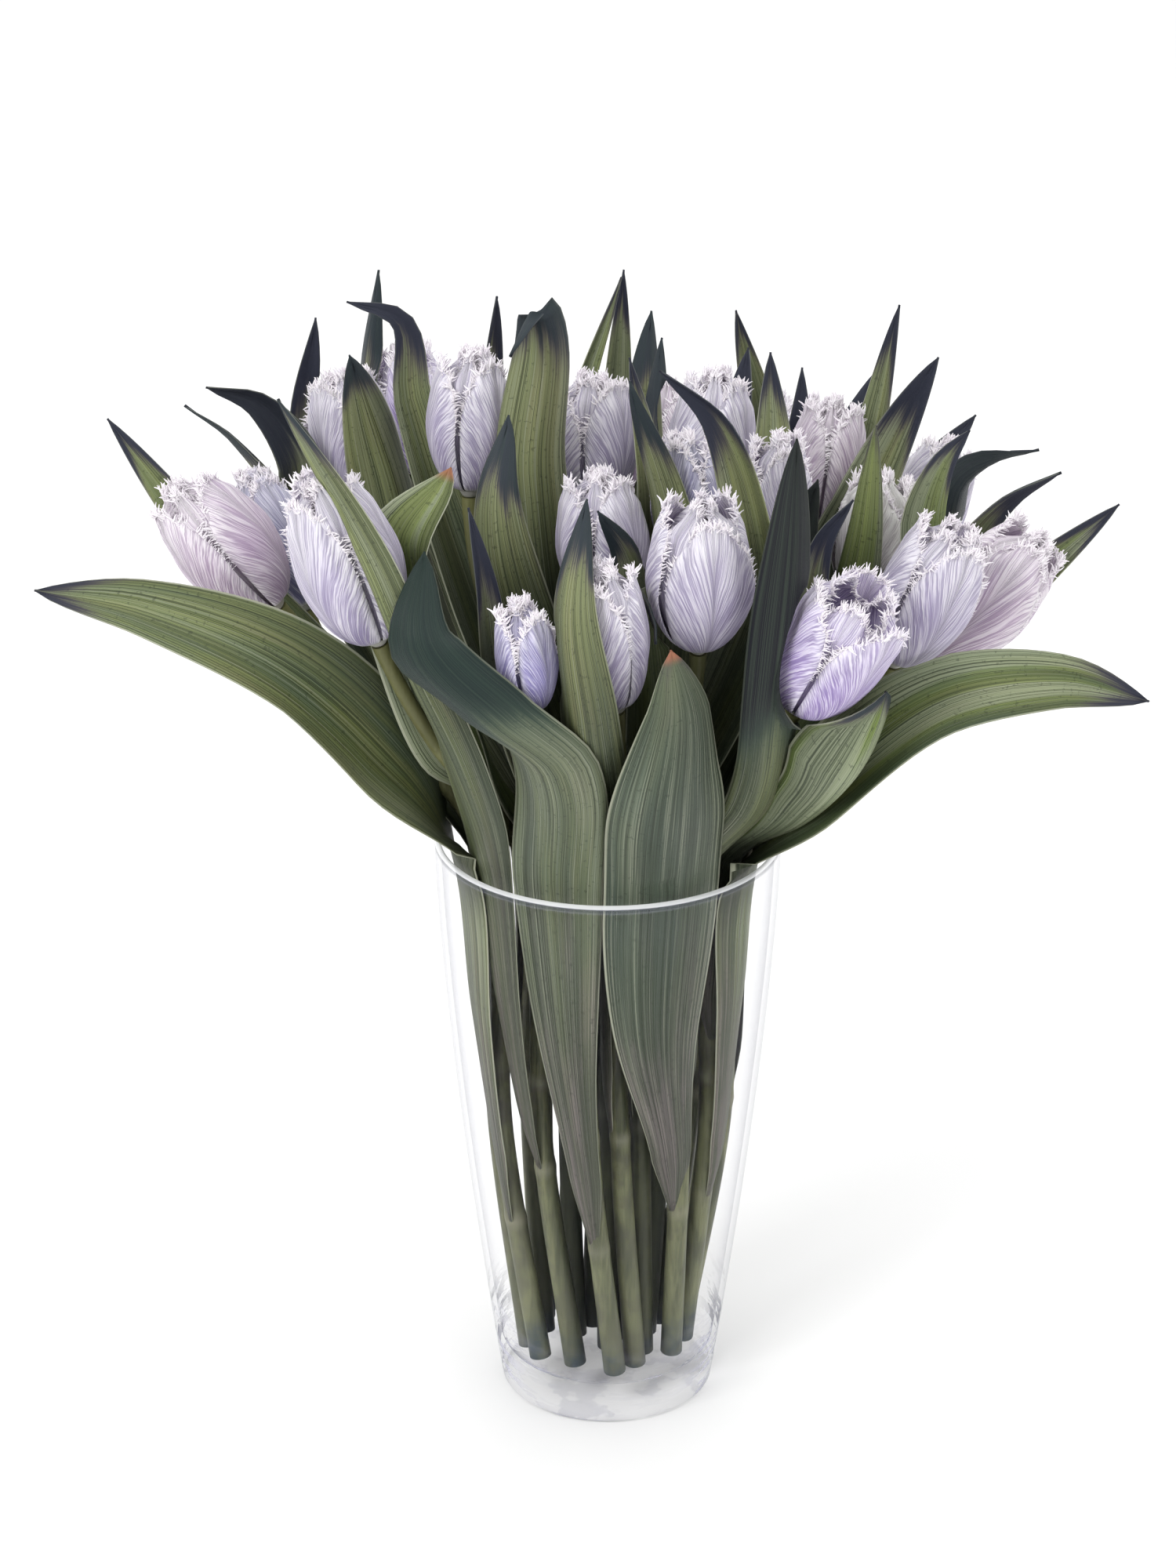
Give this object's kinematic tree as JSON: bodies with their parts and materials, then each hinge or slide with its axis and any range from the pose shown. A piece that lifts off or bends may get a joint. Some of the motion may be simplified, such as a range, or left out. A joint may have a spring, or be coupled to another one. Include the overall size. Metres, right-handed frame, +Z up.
{
  "type": "vase of fringed tulips",
  "caption": "Bouquet of fringed tulips with broad pointed leaves, fanned out in a clear conical glass vase.",
  "frame": {"origin": "centre of the vase's flat underside, which the vase stands on", "axes": "+Z up along the vase's axis, -Y towards the front of the bouquet, +X to the right seen from the front"},
  "size_m": [0.4271, 0.3189, 0.4736],
  "materials": {
    "clear_glass": "clear, polished, colourless",
    "foliage": "satin, muted grey-green leaves with darker tips, on olive stems",
    "petal_lilac": "satin, pale lilac with a near-white fringe",
    "petal_pink": "satin, pale pinkish lilac with a near-white fringe",
    "petal_slate": "satin, pale bluish lilac with a near-white fringe",
    "petal_cream": "satin, creamy white with a near-white fringe",
    "petal_violet": "satin, violet with a pale fringe",
    "petal_bud": "satin, blue-violet bud with a pale fringe"
  },
  "bodies": {
    "root": {"vase": "clear_glass", "tulip_01_leafy_stem": "foliage", "tulip_01_bloom": "petal_pink", "tulip_02_leafy_stem": "foliage", "tulip_02_bloom": "petal_slate", "tulip_03_leafy_stem": "foliage", "tulip_03_bloom": "petal_lilac", "tulip_04_leafy_stem": "foliage", "tulip_04_bloom": "petal_lilac", "tulip_05_leafy_stem": "foliage", "tulip_05_bloom": "petal_violet", "tulip_06_leafy_stem": "foliage", "tulip_06_bloom": "petal_lilac", "tulip_07_leafy_stem": "foliage", "tulip_07_bloom": "petal_lilac", "tulip_08_leafy_stem": "foliage", "tulip_08_bloom": "petal_lilac", "tulip_09_leafy_stem": "foliage", "tulip_09_bloom": "petal_lilac", "tulip_10_leafy_stem": "foliage", "tulip_10_bloom": "petal_bud", "tulip_11_leafy_stem": "foliage", "tulip_11_bloom": "petal_lilac", "tulip_12_leafy_stem": "foliage", "tulip_12_bloom": "petal_lilac", "tulip_13_leafy_stem": "foliage", "tulip_13_bloom": "petal_slate", "tulip_14_leafy_stem": "foliage", "tulip_14_bloom": "petal_lilac", "tulip_15_leafy_stem": "foliage", "tulip_15_bloom": "petal_pink", "tulip_16_leafy_stem": "foliage", "tulip_16_bloom": "petal_cream", "tulip_17_leafy_stem": "foliage", "tulip_17_bloom": "petal_violet", "tulip_18_leafy_stem": "foliage", "tulip_18_bloom": "petal_lilac", "tulip_19_leafy_stem": "foliage", "tulip_19_bloom": "petal_pink", "tulip_20_leafy_stem": "foliage", "tulip_20_bloom": "petal_lilac", "tulip_21_leafy_stem": "foliage", "tulip_21_bloom": "petal_lilac", "tulip_22_leafy_stem": "foliage", "tulip_22_bloom": "petal_pink", "tulip_23_leafy_stem": "foliage", "tulip_23_bloom": "petal_slate"}
  },
  "joints": []
}
